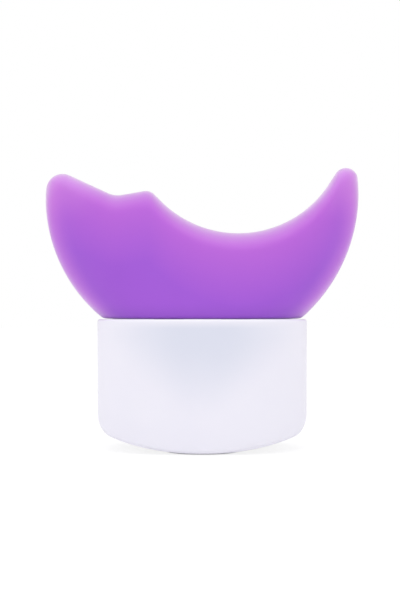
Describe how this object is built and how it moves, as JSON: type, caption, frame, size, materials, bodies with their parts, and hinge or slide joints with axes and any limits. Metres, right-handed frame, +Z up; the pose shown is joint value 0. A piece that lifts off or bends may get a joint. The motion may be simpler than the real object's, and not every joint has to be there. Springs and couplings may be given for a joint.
{
  "type": "contour massage scraper",
  "caption": "Soft crescent massage head with a saddle, a knuckle and horns, plugged by pegs into an oval white grip base that stands upright.",
  "frame": {"origin": "middle of the flat standing face under the base, on the floor plane", "axes": "+X across the front towards the slim horn, +Y to the back, +Z up; the front looks along -Y"},
  "size_m": [0.0939, 0.038, 0.0839],
  "materials": {
    "white_shell": "satin white moulded shell",
    "white_inner": "matt white moulded plate",
    "cast_weight": "as cast",
    "screw_steel": "plated",
    "pad_rubber": "matt pale pad",
    "purple_silicone": "soft satin silicone",
    "core_plastic": "plain moulded",
    "ring_rubber": "plain O-ring"
  },
  "bodies": {
    "base": {"base_cup": "white_shell", "seat_deck": "white_inner", "ballast": "cast_weight", "base_screws": "screw_steel", "standing_pad": "pad_rubber"},
    "head": {"silicone_head": "purple_silicone", "head_core": "core_plastic", "peg_rings": "ring_rubber"}
  },
  "joints": [
    {"name": "head_release", "type": "slide", "parent": "base", "child": "head", "axis": [0, 0, 1], "range_m": [0, 0.018]}
  ]
}
